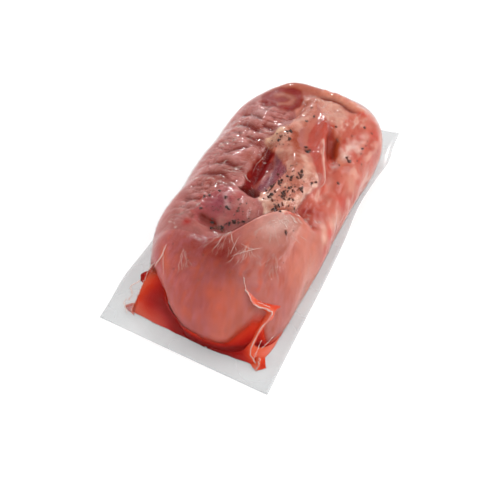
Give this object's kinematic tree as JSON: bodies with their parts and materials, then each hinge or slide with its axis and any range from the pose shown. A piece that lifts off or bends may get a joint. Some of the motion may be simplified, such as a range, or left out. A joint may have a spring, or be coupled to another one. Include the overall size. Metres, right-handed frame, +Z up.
{
  "type": "salted beef tongue",
  "caption": "Salted beef tongue in a tight clear vacuum pack: a plump folded block of meat with fat and crushed pepper, on its flat sealed film.",
  "frame": {"origin": "middle of the flat underside of the pack, on the surface it lies on", "axes": "+Y along the pack from the tongue's smooth rounded end to its root, +X across it to the red meat's side, +Z up"},
  "size_m": [0.1428, 0.297, 0.066],
  "materials": {
    "meat": "salmon-pink salted meat seen through tight glossy film, with mauve skin, red muscle, beige fat and black pepper",
    "clear_film": "clear glossy packing film, faintly grey where two layers are sealed flat",
    "juice": "clear dark red brine in the corners of the pack",
    "pepper": "dark crushed peppercorns"
  },
  "bodies": {
    "root": {"tongue": "meat", "film": "clear_film"}
  },
  "joints": []
}
